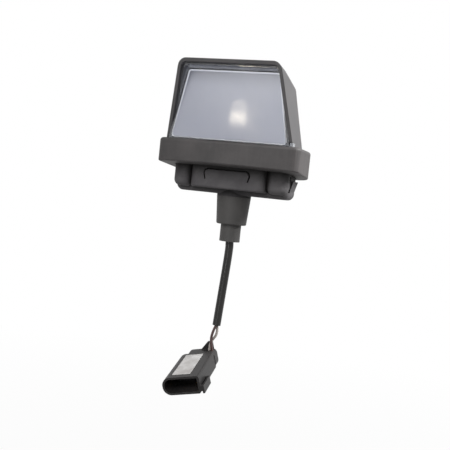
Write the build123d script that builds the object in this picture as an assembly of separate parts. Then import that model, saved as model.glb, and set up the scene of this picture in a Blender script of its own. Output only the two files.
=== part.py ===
"""Hooded tail lamp on a rubber mounting pad, with a short cable and a two-way connector.

Millimetres. The origin is on the cable boot's axis, in the plane where the wedge-shaped pad sits on the panel.
+Z is up, the lens faces -Y, and the lamp is symmetric about the YZ plane. The pieces are made with the front
edge of the pad's underside at level 0, and lifted at the end so that the seat passes through the origin.
"""

import math
import os

from build123d import *

# Mounting pad: a thick rubber ring between the lamp and the panel
PAD_WIDTH = 90.0
PAD_FRONT = -30.0
PAD_BOW = 6.0
PAD_BACK = 16.0
PAD_THICKNESS = 14.5
PAD_TILT = 5.0
PAD_FRONT_CORNER = 5.0
PAD_BACK_CORNER = 12.0
PAD_TOP_EDGE = 2.0
PAD_BOTTOM_EDGE = 0.8
PAD_RELIEF = 0.5
PAD_RELIEF_DEPTH = 1.0

# Lamp base: a plug in the pad, and below it the tray that passes through the panel
BASE_WIDTH = 74.0
BASE_FRONT = -16.5
BASE_BACK = 12.0
BASE_CORNER = 6.0
TRAY_FRONT = -11.0
BASE_DEPTH = 16.8
BASE_WALL = 2.2
BASE_FLOOR = 2.4
BASE_EDGE = 4.0
FLANGE_THICKNESS = 2.0
FLANGE_LEDGE = 2.0
BOSS_HEIGHT = 1.2
COLUMN_DEPTH = 14.2
COLUMN_LAP = 0.3
COLUMN_CORNER_SHARE = 0.352
COLUMN_EDGE_SHARE = 0.3125

# Snap block on the front of the base, with a tongue that springs behind the panel
BLOCK_WIDTH = 49.0
BLOCK_FRONT = -19.0
BLOCK_DEPTH = 13.9
BLOCK_CORNER = 6.0
BLOCK_EDGE = 1.2
TONGUE_WIDTH = 30.0
TONGUE_TOP = 2.7
TONGUE_LENGTH = 6.0
TONGUE_TAPER = 1.8
TONGUE_CORNER = 2.5
TONGUE_THICKNESS = 1.5
TONGUE_POCKET = 1.2
TONGUE_LIFT = 0.6
TONGUE_GROOVE = 0.8

# Snap barbs on the two ends of the base, and the moulding slots in front of them
BARB_WIDTH = 12.0
BARB_TOP = 5.0
BARB_HEIGHT = 6.3
BARB_LIFT = 1.8
SLOT_TOP = 2.3
SLOT_WIDTH = 2.6
SLOT_HEIGHT = 2.4
SLOT_DEPTH = 1.4
SLOT_GAP = 7.6

# Hood: a tapered shell whose rim leans forward over the lens
HOOD_BASE_WIDTH = 80.4
HOOD_TOP_WIDTH = 62.6
HOOD_HEIGHT = 46.7
HOOD_WALL = 2.0
HOOD_BACK = 7.0
HOOD_LEAN = 5.0
HOOD_CORNER = 5.5
RIM_BOTTOM = -22.7
RIM_TOP = -36.3
ROOF_BREAK = -24.0
ROOF_BREAK_DROP = 1.3
ROOF_BACK_DROP = 7.9
ROOF_BEND = 40.0
RIM_NOTCH = 2.5
RIM_NOTCH_DEPTH = 5.0

# Lens: a clear frame with a skirt, and the frosted window in it
LENS_FRONT = -24.5
LENS_THICKNESS = 3.0
LENS_BORDER = 1.7
LENS_FOOT = 0.8
SKIRT_LENGTH = 6.0
SKIRT_WALL = 1.4
LIP_WALL = 0.8
LIP_SETBACK = 3.0

# Reflector: a pale liner inside the hood
REFLECTOR_WALL = 1.2
REFLECTOR_GAP = 0.1
REFLECTOR_HEIGHT = 34.0

# Bulb holder, its seal and its two contacts
HOLDER_DIAMETER = 14.0
HOLDER_TOP = 19.0
HOLDER_KNEE = 7.0
HOLDER_FLANGE = 17.0
HOLDER_FLANGE_THICKNESS = 2.0
HOLDER_SEAL = 1.2
SPIGOT_DIAMETER = 13.5
SPIGOT_LENGTH = 9.5
SLIDE_GAP = 0.05
CONTACT_WIDTH = 4.0
CONTACT_THICKNESS = 0.4
CONTACT_SPACING = 10.2
CONTACT_TAIL = 3.0
CONTACT_ROOM = 0.4
CONTACT_INSET = 1.0

# Wedge bulb, which stands in front of the cable's axis
BULB_FORWARD = 7.0
BULB_DIAMETER = 10.0
BULB_LENGTH = 23.0
BULB_GLASS = 0.7
WEDGE_WIDTH = 9.2
WEDGE_THICKNESS = 2.2
WEDGE_LENGTH = 12.0
FILAMENT_HEIGHT = 15.0
FILAMENT_WIRE = 0.6

# Boot and sleeve where the cable leaves the base
BOOT_TOP_DIAMETER = 21.6
BOOT_END_DIAMETER = 19.0
BOOT_LENGTH = 17.6
BOOT_LIP = 1.0
SLEEVE_DIAMETER = 13.0
SLEEVE_SHOWING = 10.8

# Cable and its two conductors
CABLE_DIAMETER = 5.2
WIRE_DIAMETER = 1.7
WIRE_OFFSET = 1.35
WIRE_START = 0.25
WIRE_TURN = 5.0
WIRE_RISE = 8.6
WIRE_TWIST = 1.1
WIRE_SPREAD = 0.8
CABLE_IN_SLEEVE = 13.4
CABLE_POINTS = [(0.0, 0.0, -49.3), (0.7, -0.7, -66.3), (-0.3, -1.9, -83.3), (-1.7, -3.1, -100.3)]

# Connector: a D-shaped socket, measured back from its mouth
CONNECTOR_MOUTH = (-7.9, -38.7, -132.4)
CONNECTOR_ACROSS = (0.970, 0.062, 0.235)
CONNECTOR_AXIS = (0.109, -0.975, -0.194)
SHELL_WIDTH = 23.5
SHELL_HEIGHT = 11.2
SHELL_LENGTH = 36.0
SHELL_WALL = 1.3
SHELL_ROUND = 5.2
SHELL_CORNER = 1.4
SOCKET_DEPTH = 20.0
LOCK_GAP = 1.0
LOCK_THICKNESS = 1.2
LOCK_TOP = -0.8
LOCK_LENGTH = 14.0
LOCK_WEB = 1.8
LOCK_HOOK = 0.9
CHANNEL_PITCH = 7.0
CHANNEL_DIAMETER = 3.4
COVER_LEFT = -7.0
COVER_RIGHT = 12.0
COVER_DEPTH = 8.0
COVER_WALL = 1.2
COVER_CORNER = 3.4
WING_LEFT = 2.0
WING_RIGHT = 10.6
WING_HEIGHT = 5.0
WING_THICKNESS = 1.4
WING_SLOPE = 5.5
WIRE_ENTRY = 8.65
WIRE_PITCH = 2.3
POST_HEIGHT = 2.0
STRIP_THICKNESS = 1.0
STRIP_DROP = 1.5
STRIP_STEP = 1.2
BLADE_WIDTH = 2.8
BLADE_THICKNESS = 0.8
BLADE_TIP = 15.0
SEAL_WIDTH = 1.1
SEAL_HEIGHT = 2.0
LABEL_WIDTH = 11.4
LABEL_LENGTH = 30.0
LABEL_THICKNESS = 0.15
LABEL_INSET = 3.6

# Levels and places that follow from the sizes above
FLANGE_TOP = PAD_THICKNESS + FLANGE_THICKNESS
RIM_LEVEL = PAD_THICKNESS + HOOD_HEIGHT
FLOOR_TOP = BASE_FLOOR - BASE_DEPTH
BOSS_FACE = -BASE_DEPTH - BOSS_HEIGHT
SPIGOT_END = BOSS_FACE - SPIGOT_LENGTH
BOOT_END = BOSS_FACE - BOOT_LENGTH
SLEEVE_END = BOOT_END - SLEEVE_SHOWING
SLEEVE_TOP = SPIGOT_END - SLIDE_GAP
CABLE_TOP = SLEEVE_END + CABLE_IN_SLEEVE
HOLDER_BORE = CONTACT_SPACING + 2 * CONTACT_ROOM
SEAT_RISE = -(PAD_FRONT + PAD_BOW) * math.tan(math.radians(PAD_TILT))
SEAT_NORMAL = (0, -math.sin(math.radians(PAD_TILT)), -math.cos(math.radians(PAD_TILT)))
COLUMN_WIDTH = (BASE_WIDTH - BLOCK_WIDTH) / 2 + COLUMN_LAP
COLUMN_CORNER = COLUMN_CORNER_SHARE * COLUMN_WIDTH
COLUMN_EDGE = COLUMN_EDGE_SHARE * COLUMN_WIDTH
SIDE_SLOPE = (HOOD_BASE_WIDTH - HOOD_TOP_WIDTH) / 2 / HOOD_HEIGHT
SIDE_STRETCH = math.hypot(1.0, SIDE_SLOPE)
BULB_PLACE = Pos(0, -BULB_FORWARD, 0)
FAR = 200.0


def block(x_range, y_range, z_range):
    """Return a box between the given limits along each axis."""
    size = [high - low for low, high in (x_range, y_range, z_range)]
    middle = [(high + low) / 2 for low, high in (x_range, y_range, z_range)]
    return Pos(*middle) * Box(*size)


def rod(radius, low, high):
    """Return an upright cylinder on the bulb's axis between two levels."""
    return Pos(0, 0, low) * Cylinder(radius, high - low, align=(Align.CENTER, Align.CENTER, Align.MIN))


def plan(width, front, back, corner):
    """Return a rounded rectangle seen from above, centred across the lamp."""
    return Pos(0, (front + back) / 2) * RectangleRounded(width, back - front, corner)


def base_outline():
    """Return the plan of the plug with its snap block, which the pad fits round."""
    plug = plan(BASE_WIDTH, BASE_FRONT, BASE_BACK, BASE_CORNER)
    return plug + plan(BLOCK_WIDTH, BLOCK_FRONT, 0, BLOCK_CORNER)


def hood_form(inset, bottom=PAD_THICKNESS):
    """Return the hood's form as a solid, every wall moved in by the inset, with an open-ended front."""
    half_bottom = HOOD_BASE_WIDTH / 2 - inset * SIDE_STRETCH - (bottom - PAD_THICKNESS) * SIDE_SLOPE
    half_top = half_bottom - (FAR - bottom) * SIDE_SLOPE / 2
    middle = (FAR + bottom) / 2
    trapezium = Polyline(
        (-half_bottom, bottom), (half_bottom, bottom), (half_top, middle), (-half_top, middle), close=True
    )
    across = extrude(Plane.XZ * make_face(trapezium), FAR, both=True)

    visor_slope = ROOF_BREAK_DROP / (ROOF_BREAK - RIM_TOP)
    back_slope = (ROOF_BACK_DROP - ROOF_BREAK_DROP) / (HOOD_BACK - HOOD_LEAN - ROOF_BREAK)
    back_lean = HOOD_LEAN / (HOOD_HEIGHT - ROOF_BACK_DROP)
    far_front = RIM_TOP - HOOD_HEIGHT
    far_level = RIM_LEVEL + visor_slope * (RIM_TOP - far_front) - inset * math.hypot(1, visor_slope)
    break_level = RIM_LEVEL - ROOF_BREAK_DROP - inset * math.hypot(1, visor_slope)
    roof_back = HOOD_BACK - HOOD_LEAN - inset
    back_level = RIM_LEVEL - ROOF_BACK_DROP - inset * math.hypot(1, back_slope) + inset * back_slope
    back = roof_back + back_lean * (back_level - bottom)
    side = Polyline(
        (far_front, bottom), (back, bottom), (roof_back, back_level), (ROOF_BREAK, break_level), (far_front, far_level),
        close=True,
    )
    profile = make_face(side)
    bend = [v for v in profile.vertices() if abs(v.X - ROOF_BREAK) < 0.01]
    profile = fillet(bend, ROOF_BEND)
    heel = [v for v in profile.vertices() if abs(v.X - roof_back) < 0.01 and v.Y > bottom + 1]
    profile = fillet(heel, max(HOOD_CORNER - inset, HOOD_WALL / 2))
    along = extrude(Plane.YZ * profile, FAR, both=True)

    form = across & along
    corners = [
        e for e in form.edges()
        if abs(e.center().X) > 5 and e.center().Z > bottom + 0.5 and e.center().Y > far_front + 0.5
    ]
    return fillet(corners, max(HOOD_CORNER - inset, HOOD_WALL / 2))


def rim_cutter():
    """Return the space in front of the leaning rim."""
    lean = (RIM_TOP - RIM_BOTTOM) / HOOD_HEIGHT
    low = RIM_BOTTOM - lean * FAR / 4
    high = RIM_TOP + lean * FAR / 4
    outline = Polyline(
        (low, PAD_THICKNESS - FAR / 4), (high, RIM_LEVEL + FAR / 4),
        (-FAR, RIM_LEVEL + FAR / 4), (-FAR, PAD_THICKNESS - FAR / 4), close=True,
    )
    return extrude(Plane.YZ * make_face(outline), FAR, both=True)


def make_pad():
    """Return the rubber pad: a bowed block with the base's outline cut through it, eased at the seat."""
    half = PAD_WIDTH / 2
    side_front = PAD_FRONT + PAD_BOW
    outline = make_face(
        ThreePointArc((-half, side_front), (0, PAD_FRONT), (half, side_front))
        + Polyline((half, side_front), (half, PAD_BACK), (-half, PAD_BACK), (-half, side_front))
    )
    outline = fillet(outline.vertices().group_by(Axis.Y)[-1], PAD_BACK_CORNER)
    fronts = [v for v in outline.vertices() if abs(v.Y - side_front) < 0.01]
    outline = fillet(fronts, PAD_FRONT_CORNER)
    solid = Pos(0, 0, -PAD_THICKNESS) * extrude(outline, 2 * PAD_THICKNESS)
    below = Plane(origin=(0, 0, -SEAT_RISE), x_dir=(1, 0, 0), z_dir=SEAT_NORMAL)
    solid -= extrude(below * Rectangle(FAR, FAR), FAR)
    solid = fillet(solid.edges().group_by(Axis.Z)[-1], PAD_TOP_EDGE)
    rim = [e for e in solid.edges() if abs(below.to_local_coords(e.center()).Z) < 0.01]
    solid = fillet(rim, PAD_BOTTOM_EDGE)
    eased = Plane(origin=(0, 0, PAD_RELIEF_DEPTH - SEAT_RISE), x_dir=(1, 0, 0), z_dir=SEAT_NORMAL)
    relief = Pos(0, 0, -PAD_THICKNESS) * extrude(offset(base_outline(), PAD_RELIEF), 2 * PAD_THICKNESS)
    relief &= extrude(eased * Rectangle(FAR, FAR), FAR)
    return solid - Pos(0, 0, -PAD_THICKNESS) * extrude(base_outline(), 2 * PAD_THICKNESS) - relief


def tongue_outline():
    """Return the snap tongue seen from the front: a tapered tab, rounded at its free upper end."""
    half = TONGUE_WIDTH / 2
    low = -TONGUE_TOP - TONGUE_LENGTH
    tab = make_face(
        Polyline(
            (-half, -TONGUE_TOP), (half, -TONGUE_TOP), (half - TONGUE_TAPER, low), (TONGUE_TAPER - half, low), close=True
        )
    )
    return fillet(tab.vertices().group_by(Axis.Y)[-1], TONGUE_CORNER)


def make_base(cavity, skirt):
    """Return the base: plug and flange, tray, corner columns, snap block and tongue, barbs and boss."""
    plug = extrude(base_outline(), PAD_THICKNESS)
    tray = Pos(0, 0, -BASE_DEPTH) * extrude(plan(BASE_WIDTH, TRAY_FRONT, BASE_BACK, BASE_CORNER), BASE_DEPTH)
    tray = fillet(tray.edges().group_by(Axis.Z)[0], BASE_EDGE)
    column_plan = Pos((BASE_WIDTH - COLUMN_WIDTH) / 2, 0) * plan(COLUMN_WIDTH, BASE_FRONT, 0, COLUMN_CORNER)
    column = extrude(column_plan & plan(BASE_WIDTH, BASE_FRONT, BASE_BACK, BASE_CORNER), COLUMN_DEPTH)
    column = fillet((Pos(0, 0, -COLUMN_DEPTH) * column).edges().group_by(Axis.Z)[0], COLUMN_EDGE)
    snap = Pos(0, 0, -BLOCK_DEPTH) * extrude(plan(BLOCK_WIDTH, BLOCK_FRONT, 0, BLOCK_CORNER), BLOCK_DEPTH)
    snap = fillet(snap.edges().group_by(Axis.Z)[0], BLOCK_EDGE)
    lens_back = LENS_FRONT + LENS_THICKNESS
    flange = cavity & block((-FAR, FAR), (lens_back, FAR), (PAD_THICKNESS, FLANGE_TOP))
    boss = rod(BOOT_TOP_DIAMETER / 2, BOSS_FACE, FLOOR_TOP)
    room = (BASE_WIDTH - 2 * BASE_WALL, BASE_CORNER - BASE_WALL)
    back = BASE_BACK - BASE_WALL
    mouth_back = HOOD_BACK - HOOD_WALL - FLANGE_LEDGE
    mouth_low = PAD_THICKNESS - FLANGE_THICKNESS
    tray_room = plan(room[0], TRAY_FRONT + BASE_WALL, back, room[1])
    hollow = Pos(0, 0, FLOOR_TOP) * extrude(tray_room, BASE_FLOOR - FLOOR_TOP)
    plug_room = plan(room[0], BASE_FRONT + BASE_WALL, back, room[1])
    hollow += Pos(0, 0, BASE_FLOOR) * extrude(plug_room, mouth_low - BASE_FLOOR)
    hollow += Pos(0, 0, mouth_low) * extrude(plan(room[0], BASE_FRONT + BASE_WALL, mouth_back, room[1]), FAR)
    solid = plug + tray + column + mirror(column, Plane.YZ) + snap + boss + (flange - skirt)
    solid -= hollow
    solid -= rod(HOLDER_DIAMETER / 2 + SLIDE_GAP, -FAR, BASE_FLOOR)

    # The tongue is cut free along its sides and top, with a pocket behind it
    tab = tongue_outline()
    reach = Pos(0, -TONGUE_TOP - TONGUE_LENGTH / 2) * Rectangle(2 * TONGUE_WIDTH, TONGUE_LENGTH + 2 * TONGUE_GROOVE)
    swollen = offset(tab, TONGUE_GROOVE) & (Pos(0, TONGUE_GROOVE) * reach)
    to_front = Pos(0, BLOCK_FRONT, 0)
    solid -= to_front * extrude(Plane.XZ * (swollen - tab), -TONGUE_THICKNESS)
    solid -= Pos(0, BLOCK_FRONT + TONGUE_THICKNESS, 0) * extrude(Plane.XZ * swollen, -TONGUE_POCKET)
    ramp = Polyline(
        (BLOCK_FRONT, -TONGUE_TOP), (BLOCK_FRONT - TONGUE_LIFT, -TONGUE_TOP),
        (BLOCK_FRONT, -TONGUE_TOP - TONGUE_LENGTH), close=True,
    )
    ramp = extrude(Plane.YZ * make_face(ramp), TONGUE_WIDTH, both=True)
    solid += ramp & (to_front * extrude(Plane.XZ * tab, TONGUE_WIDTH))

    # A barb on each end springs behind the panel's edge
    end = BASE_WIDTH / 2
    middle = (TRAY_FRONT + BASE_BACK) / 2
    barb = Polyline(
        (end, -BARB_TOP), (end + BARB_LIFT, -BARB_TOP), (end, -BARB_TOP - BARB_HEIGHT), close=True
    )
    barb = Pos(0, middle, 0) * extrude(Plane.XZ * make_face(barb), BARB_WIDTH / 2, both=True)
    slot_front = middle - BARB_WIDTH / 2 - SLOT_WIDTH
    slots = [
        block((end - SLOT_DEPTH, end + SLOT_DEPTH), (slot_front, slot_front + SLOT_WIDTH), (top - SLOT_HEIGHT, top))
        for top in (-SLOT_TOP, -SLOT_TOP - SLOT_GAP)
    ]
    for turned in (False, True):
        solid += mirror(barb, Plane.YZ) if turned else barb
        for slot in slots:
            solid -= mirror(slot, Plane.YZ) if turned else slot
    return solid


def make_hood(form):
    """Return the hood: the outer form, hollowed from below, cut back along the rim, with a notch at its right foot."""
    shell = form - hood_form(HOOD_WALL, -PAD_THICKNESS) - rim_cutter()
    notch = block(
        (0, FAR), (-FAR, RIM_BOTTOM + RIM_NOTCH_DEPTH), (PAD_THICKNESS, PAD_THICKNESS + RIM_NOTCH)
    )
    return shell - notch


def make_lens(cavity):
    """Return the clear frame with its skirt and forward lip, the frosted window, and the skirt by itself."""
    lens_back = LENS_FRONT + LENS_THICKNESS
    slab = block((-FAR, FAR), (LENS_FRONT, lens_back), (PAD_THICKNESS, FAR))
    window = hood_form(HOOD_WALL + LENS_BORDER) & block(
        (-FAR, FAR), (LENS_FRONT, lens_back), (PAD_THICKNESS + LENS_FOOT, FAR)
    )
    behind = block((-FAR, FAR), (lens_back, lens_back + SKIRT_LENGTH), (PAD_THICKNESS, FAR))
    skirt = (cavity & behind) - hood_form(HOOD_WALL + SKIRT_WALL)
    ahead = block((-FAR, FAR), (-FAR, LENS_FRONT), (PAD_THICKNESS, FAR))
    lip = (cavity & ahead) - hood_form(HOOD_WALL + LIP_WALL) - Pos(0, LIP_SETBACK, 0) * rim_cutter()
    frame = (cavity & slab) - window + skirt + lip
    return frame, window, skirt


def make_reflector():
    """Return the pale liner behind the bulb, with its floor and the hole for the bulb holder."""
    front = LENS_FRONT + LENS_THICKNESS + SKIRT_LENGTH
    outer = hood_form(HOOD_WALL + REFLECTOR_GAP)
    inner = hood_form(HOOD_WALL + REFLECTOR_GAP + REFLECTOR_WALL)
    room = block((-FAR, FAR), (front, FAR), (FLANGE_TOP, FLANGE_TOP + REFLECTOR_HEIGHT))
    floor = block((-FAR, FAR), (front, FAR), (FLANGE_TOP, FLANGE_TOP + REFLECTOR_WALL))
    liner = (outer & room) - (inner - floor)
    return liner - BULB_PLACE * rod(HOLDER_DIAMETER / 2 + 4 * SLIDE_GAP, -FAR, FAR)


def contact_strip(side, room=0.0):
    """Return one contact's strip, cranked from the bulb's axis to the cable's, with some room round it."""
    half = CONTACT_SPACING / 2
    across = sorted((side * (half - CONTACT_THICKNESS - room), side * (half + room)))
    reach = CONTACT_WIDTH / 2 + room
    knee = (HOLDER_KNEE - CONTACT_WIDTH - room, HOLDER_KNEE + room)
    strip = block(across, (-BULB_FORWARD - reach, reach - BULB_FORWARD), (knee[0], HOLDER_TOP - CONTACT_INSET + room))
    strip += block(across, (-BULB_FORWARD - reach, reach), knee)
    return strip + block(across, (-reach, reach), (BOSS_FACE, knee[1]))


def make_holder():
    """Return the bulb holder, cranked forward to the bulb's axis, and its seal."""
    radius = HOLDER_DIAMETER / 2
    flange_low = FLOOR_TOP + HOLDER_SEAL
    cap = HOLDER_KNEE + CONTACT_ROOM
    body = rod(radius, BOSS_FACE, cap + 2 * CONTACT_ROOM) + rod(SPIGOT_DIAMETER / 2, SPIGOT_END, BOSS_FACE)
    body += rod(HOLDER_FLANGE / 2, flange_low, flange_low + HOLDER_FLANGE_THICKNESS)
    body += BULB_PLACE * rod(radius, BASE_FLOOR, HOLDER_TOP)
    body += block((-radius, radius), (-BULB_FORWARD, 0), (0, cap + 2 * CONTACT_ROOM))
    wedge_low = HOLDER_TOP - WEDGE_LENGTH - SLIDE_GAP
    body -= rod(HOLDER_BORE / 2, SPIGOT_END, cap)
    half = CONTACT_SPACING / 2
    half_slot = WEDGE_THICKNESS / 2 + SLIDE_GAP
    body -= BULB_PLACE * block((-half, half), (-half_slot, half_slot), (wedge_low, HOLDER_TOP))
    for side in (-1, 1):
        body -= contact_strip(side, SLIDE_GAP)
    seal = rod(HOLDER_FLANGE / 2, FLOOR_TOP, flange_low) - rod(radius + SLIDE_GAP, FLOOR_TOP, flange_low)
    return body, seal


def make_contact(side):
    """Return one brass contact strip with its crimped tail."""
    half = CONTACT_SPACING / 2
    tail = sorted((side * (half - CONTACT_THICKNESS - WIRE_DIAMETER), side * half))
    crimp = block(tail, (-WIRE_DIAMETER / 2, WIRE_DIAMETER / 2), (BOSS_FACE - CONTACT_TAIL, BOSS_FACE))
    return contact_strip(side) + crimp


def make_bulb():
    """Return the bulb's glass with its flat wedge, and the filament on its two supports."""
    radius = BULB_DIAMETER / 2
    top = HOLDER_TOP + BULB_LENGTH
    capsule = rod(radius, HOLDER_TOP, top - radius) + Pos(0, 0, top - radius) * Sphere(radius)
    hollow = rod(radius - BULB_GLASS, HOLDER_TOP + 2 * BULB_GLASS, top - radius)
    hollow += Pos(0, 0, top - radius) * Sphere(radius - BULB_GLASS)
    wedge = block(
        (-WEDGE_WIDTH / 2, WEDGE_WIDTH / 2), (-WEDGE_THICKNESS / 2, WEDGE_THICKNESS / 2),
        (HOLDER_TOP - WEDGE_LENGTH, HOLDER_TOP),
    )
    glass = capsule - hollow + wedge
    seat = HOLDER_TOP + 2 * BULB_GLASS
    reach = WEDGE_WIDTH / 4
    thread = FILAMENT_WIRE / 2
    coil_top = seat + FILAMENT_HEIGHT
    support = block((reach - thread, reach + thread), (-thread, thread), (seat, coil_top))
    coil = block((-reach, reach), (-thread, thread), (coil_top - FILAMENT_WIRE, coil_top))
    return BULB_PLACE * glass, BULB_PLACE * (support + mirror(support, Plane.YZ) + coil)


def make_boot():
    """Return the rubber boot and the sleeve that grips the cable."""
    top = BOOT_TOP_DIAMETER / 2
    end = BOOT_END_DIAMETER / 2
    outline = make_face(
        Polyline((0, BOSS_FACE), (top, BOSS_FACE), (end, BOOT_END), (0, BOOT_END), close=True)
    )
    boot = revolve(Plane.XZ * outline, Axis.Z)
    boot = fillet(boot.edges().group_by(Axis.Z)[0], BOOT_LIP)
    boot -= rod(SPIGOT_DIAMETER / 2 + SLIDE_GAP, SPIGOT_END, BOSS_FACE)
    boot -= rod(SLEEVE_DIAMETER / 2 + SLIDE_GAP, BOOT_END, SPIGOT_END)
    sleeve = rod(SLEEVE_DIAMETER / 2, SLEEVE_END, SLEEVE_TOP)
    sleeve -= rod(CABLE_DIAMETER / 2 + SLIDE_GAP, SLEEVE_END, SLEEVE_TOP)
    return boot, sleeve


def cord(points, diameter, name):
    """Return a round tube along straight runs joined by arcs as large as the runs allow."""
    places = [Vector(*p) for p in points]
    radii = []
    for before, here, after in zip(places, places[1:], places[2:]):
        turn = (here - before).get_angle(after - here)
        shorter = min((here - before).length, (after - here).length)
        radii.append(0.45 * shorter / math.tan(math.radians(turn / 2)))
    path = FilletPolyline(*places, radius=radii) if radii else Line(*places)
    start = Plane(origin=places[0], z_dir=places[1] - places[0])
    tube = sweep(start * Circle(diameter / 2), path=path)
    expected = math.pi * diameter**2 / 4 * path.length
    print(f"{name}: length {path.length:.1f}, radii {[round(r, 1) for r in radii]}, "
          f"volume {tube.volume:.1f} of {expected:.1f}")
    return tube


def d_profile(width, height, rounded, corner):
    """Return the connector's D outline: one end rounded, the other nearly square."""
    outline = Rectangle(width, height)
    outline = fillet(outline.vertices().group_by(Axis.X)[0], rounded)
    return fillet(outline.vertices().group_by(Axis.X)[-1], corner)


def make_connector():
    """Return the connector's rigid pieces in its own frame, with the mouth at level 0 and the rear below."""
    rear = -SHELL_LENGTH
    half = SHELL_WIDTH / 2
    low = -SHELL_HEIGHT / 2
    shell = Pos(0, 0, rear) * extrude(d_profile(SHELL_WIDTH, SHELL_HEIGHT, SHELL_ROUND, SHELL_CORNER), SHELL_LENGTH)
    inside = d_profile(
        SHELL_WIDTH - 2 * SHELL_WALL, SHELL_HEIGHT - 2 * SHELL_WALL, SHELL_ROUND - SHELL_WALL, SHELL_CORNER / 2
    )
    shell -= Pos(0, 0, -SOCKET_DEPTH) * extrude(inside, SOCKET_DEPTH)

    # The lock bar springs from the mouth and ends in a hook
    bar = (half + LOCK_GAP, half + LOCK_GAP + LOCK_THICKNESS)
    height = (low, LOCK_TOP)
    shell += block(bar, height, (-LOCK_LENGTH, 0))
    shell += block((half - SHELL_WALL / 2, bar[1]), (low + SHELL_CORNER, LOCK_TOP), (-LOCK_WEB, 0))
    shell += block((bar[0] - LOCK_HOOK, bar[0]), height, (-LOCK_LENGTH, LOCK_WEB - LOCK_LENGTH))
    places = [Pos(-CHANNEL_PITCH / 2, 0), Pos(CHANNEL_PITCH / 2, 0)]
    for place in places:
        shell -= place * rod(CHANNEL_DIAMETER / 2, rear, -SOCKET_DEPTH)

    # The rear cover turns the conductors upwards, with a wing behind them
    cover_size = (COVER_RIGHT - COVER_LEFT, SHELL_HEIGHT)
    cover_middle = Pos((COVER_RIGHT + COVER_LEFT) / 2, 0)
    cover = Pos(0, 0, rear - COVER_DEPTH) * extrude(cover_middle * RectangleRounded(*cover_size, COVER_CORNER), COVER_DEPTH)
    cover = fillet(cover.edges().group_by(Axis.Z)[0], COVER_WALL)
    room = RectangleRounded(*(size - 2 * COVER_WALL for size in cover_size), COVER_CORNER - COVER_WALL)
    cover -= Pos(0, 0, rear + COVER_WALL - COVER_DEPTH) * extrude(cover_middle * room, COVER_DEPTH - COVER_WALL)
    wing = Polyline(
        (WING_LEFT, 0), (WING_LEFT, -low), (WING_LEFT + WING_SLOPE, WING_HEIGHT - low), (WING_RIGHT, WING_HEIGHT - low),
        (WING_RIGHT, 0), close=True,
    )
    wing_low = rear - COVER_DEPTH + COVER_WALL
    wing = Pos(0, 0, wing_low) * extrude(make_face(wing), WING_THICKNESS)
    cover += wing - block((-FAR, FAR), (-FAR, -low - COVER_WALL), (-FAR, FAR))
    entry_level = wing_low + WING_THICKNESS + WIRE_DIAMETER
    bore = WIRE_DIAMETER / 2 + SLIDE_GAP
    entries = [WIRE_ENTRY - WIRE_PITCH / 2, WIRE_ENTRY + WIRE_PITCH / 2]
    for entry in entries:
        hole = Pos(entry, -low - 2 * COVER_WALL, entry_level) * Rot(-90, 0, 0)
        cover -= hole * Cylinder(bore, 4 * COVER_WALL, align=(Align.CENTER, Align.CENTER, Align.MIN))

    terminals = []
    blade = block(
        (-BLADE_WIDTH / 2, BLADE_WIDTH / 2), (-BLADE_THICKNESS / 2, BLADE_THICKNESS / 2), (-SOCKET_DEPTH, -BLADE_TIP)
    )
    blade = chamfer(blade.edges().group_by(Axis.Z)[-1].filter_by(Axis.X), BLADE_THICKNESS / 3)
    post = WIRE_DIAMETER / 2
    for place, entry, drop, step in zip(places, entries[::-1], (STRIP_DROP, 0.0), (STRIP_STEP, 0.0)):
        at = place.position.X
        near = rear - step
        shank = rod(CHANNEL_DIAMETER / 2 - SLIDE_GAP, near - STRIP_THICKNESS, -SOCKET_DEPTH)
        strip = block(
            (min(at, entry) - post, max(at, entry) + post), (-drop - STRIP_THICKNESS, -drop),
            (near - STRIP_THICKNESS, near),
        )
        foot = block((entry - post, entry + post), (-drop - STRIP_THICKNESS, -drop), (entry_level - post, near))
        stem = block(
            (entry - post, entry + post), (-drop - STRIP_THICKNESS, POST_HEIGHT), (entry_level - post, entry_level + post)
        )
        terminals.append(place * (shank + blade) + strip + foot + stem)
    floor = d_profile(
        SHELL_WIDTH - 2 * SHELL_WALL - 2 * SLIDE_GAP, SHELL_HEIGHT - 2 * SHELL_WALL - 2 * SLIDE_GAP,
        SHELL_ROUND - SHELL_WALL, SHELL_CORNER / 2,
    )
    ring = Pos(0, 0, -SOCKET_DEPTH) * extrude(floor - offset(floor, -SEAL_WIDTH), SEAL_HEIGHT)
    label = Pos(0, LABEL_THICKNESS / 2 - low, -LABEL_INSET - LABEL_LENGTH / 2) * Box(
        LABEL_WIDTH, LABEL_THICKNESS, LABEL_LENGTH
    )
    ends = [Vector(entry, POST_HEIGHT, entry_level) for entry in entries]
    return shell, cover, terminals, ring, label, ends


def wire_points(side, frame, end):
    """Return the route of one conductor from the sheath's end, a quarter turn, to its terminal's post."""
    last = Vector(*CABLE_POINTS[-1])
    down = (last - Vector(*CABLE_POINTS[-2])).normalized()
    across = frame.x_dir.normalized()
    out = (across - down * across.dot(down)).normalized()
    deep = down.cross(out)
    arrive = frame.from_local_coords(end)
    above = frame.from_local_coords(end + Vector(0, WIRE_RISE, 0))
    start = last + down * WIRE_START + deep * (side * WIRE_OFFSET)
    turn = last + down * WIRE_TURN + deep * (side * WIRE_TWIST) + out * (side * WIRE_SPREAD)
    return [tuple(start), tuple(turn), tuple(above), tuple(arrive)]


def lead_points(side):
    """Return the route of one inner lead from the sheath's top end to its contact."""
    tail = side * (CONTACT_SPACING / 2 - CONTACT_THICKNESS - WIRE_DIAMETER / 2)
    tail_end = BOSS_FACE - CONTACT_TAIL
    return [
        (side * WIRE_OFFSET, 0, CABLE_TOP),
        (side * WIRE_OFFSET, 0, SPIGOT_END + (tail_end - SPIGOT_END) * 0.2),
        (tail, 0, SPIGOT_END + (tail_end - SPIGOT_END) * 0.66),
        (tail, 0, tail_end),
    ]


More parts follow.
